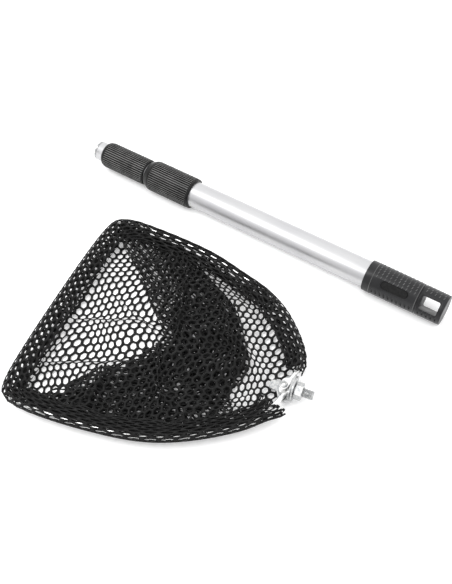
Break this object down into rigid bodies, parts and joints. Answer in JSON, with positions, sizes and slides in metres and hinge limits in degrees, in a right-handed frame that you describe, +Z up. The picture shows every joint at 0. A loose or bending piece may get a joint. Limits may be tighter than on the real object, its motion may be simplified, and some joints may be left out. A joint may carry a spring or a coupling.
{
  "type": "telescopic leaf skimmer net",
  "caption": "Twist-lock telescopic aluminium handle with a threaded tip, and a separate shield-shaped hoop with a loose mesh bag and a threaded stud.",
  "frame": {"origin": "on the surface that the object lies on, under the middle of its box", "axes": "+X along the handle from its threaded tip to its grip, +Y from the net towards the handle, +Z up"},
  "size_m": [0.375, 0.2846, 0.03],
  "materials": {
    "anodised_aluminium": "satin clear anodised",
    "zinc_steel": "bright zinc plated",
    "collar_plastic": "satin black moulding",
    "grip_plastic": "satin black moulding",
    "inlay_rubber": "matt black",
    "lock_plastic": "natural nylon",
    "netting": "black knitted polyester"
  },
  "bodies": {
    "handle": {"outer_tube": "anodised_aluminium", "outer_collar": "collar_plastic", "grip": "grip_plastic", "grip_inlay": "inlay_rubber"},
    "middle_lock": {"middle_lock_ring": "lock_plastic"},
    "middle_section": {"middle_tube": "anodised_aluminium", "middle_lock_plug": "lock_plastic", "middle_collar": "collar_plastic"},
    "inner_lock": {"inner_lock_ring": "lock_plastic"},
    "inner_section": {"inner_tube": "anodised_aluminium", "inner_lock_plug": "lock_plastic", "tip_socket": "zinc_steel"},
    "net_head": {"hoop_rod": "zinc_steel", "hub_bracket": "zinc_steel", "hub_rivet": "zinc_steel", "hub_stud": "zinc_steel", "stud_washer": "zinc_steel", "stud_nut": "zinc_steel", "net_hem": "netting", "net_bag": "netting"}
  },
  "joints": [
    {"name": "middle_slide", "type": "slide", "parent": "handle", "child": "middle_lock", "axis": [-1, 0, 0], "range_m": [0, 0.225]},
    {"name": "middle_twist", "type": "hinge", "parent": "middle_lock", "child": "middle_section", "pos_m": [0, 0.12726, 0.015], "axis": [1, 0, 0], "range_deg": [-50, 50]},
    {"name": "inner_slide", "type": "slide", "parent": "middle_section", "child": "inner_lock", "axis": [-1, 0, 0], "range_m": [0, 0.245]},
    {"name": "inner_twist", "type": "hinge", "parent": "inner_lock", "child": "inner_section", "pos_m": [0, 0.12726, 0.015], "axis": [1, 0, 0], "range_deg": [-50, 50]},
    {"name": "head_lift", "type": "slide", "parent": "handle", "child": "net_head", "axis": [0, 0, 1], "range_m": [0, 0.25]}
  ]
}
